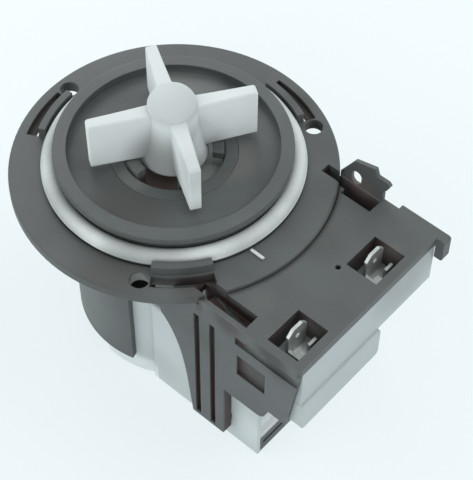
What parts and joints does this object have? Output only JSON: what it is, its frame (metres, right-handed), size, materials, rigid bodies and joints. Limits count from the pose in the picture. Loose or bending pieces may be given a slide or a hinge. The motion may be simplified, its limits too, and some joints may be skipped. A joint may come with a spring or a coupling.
{
  "type": "washer drain pump",
  "caption": "Synchronous drain pump head: round bolt-on flange with sealed plug, four-vane impeller, side coil block and spade terminals.",
  "frame": {"origin": "centre of the mounting flange's top face, on the rotor axis", "axes": "+Z out of the impeller along the rotor axis, +X from the rotor towards the coils and terminals"},
  "size_m": [0.1032, 0.08, 0.0824],
  "materials": {
    "dark_plastic": "moulded matte",
    "cap_plastic": "moulded matte",
    "pale_plastic": "moulded satin",
    "white_plastic": "moulded satin",
    "seal_rubber": "soft silicone",
    "black_rubber": "matte",
    "core_iron": "stacked sheet",
    "steel": "ground",
    "tin_brass": "tinned",
    "bronze": "sintered",
    "copper_wire": "enamelled",
    "lead_sleeve": "insulated",
    "ferrite": "ground"
  },
  "bodies": {
    "housing": {"pump_head": "dark_plastic", "motor_cover": "dark_plastic", "plug_seal": "seal_rubber", "front_bearing_cap": "cap_plastic", "cap_ring": "black_rubber", "shaft_seal": "black_rubber", "front_bush": "bronze", "front_bush_seat": "black_rubber", "rear_bush": "bronze", "rear_bush_seat": "black_rubber", "stator_core": "core_iron", "core_yoke": "core_iron", "core_rivets": "steel", "yoke_keeper": "cap_plastic", "coil_moulding": "pale_plastic", "front_bobbin": "white_plastic", "back_bobbin": "white_plastic", "front_winding": "copper_wire", "back_winding": "copper_wire", "coil_link": "copper_wire", "front_lead": "lead_sleeve", "back_lead": "lead_sleeve", "terminal_block": "pale_plastic", "front_terminal": "tin_brass", "back_terminal": "tin_brass"},
    "rotor": {"rotor_shaft": "steel", "rotor_magnet": "ferrite", "magnet_carrier": "white_plastic", "front_thrust_washer": "steel", "rear_thrust_washer": "steel", "drive_dog": "white_plastic"},
    "impeller": {"impeller": "white_plastic", "impeller_retainer": "white_plastic", "stop_bumpers": "black_rubber"}
  },
  "joints": [
    {"name": "rotor_spin", "type": "hinge", "parent": "housing", "child": "rotor", "pos_m": [0, 0, 0], "axis": [0, 0, 1], "continuous": true},
    {"name": "impeller_play", "type": "hinge", "parent": "rotor", "child": "impeller", "pos_m": [0, 0, 0], "axis": [0, 0, 1], "range_deg": [-118, 118]}
  ]
}
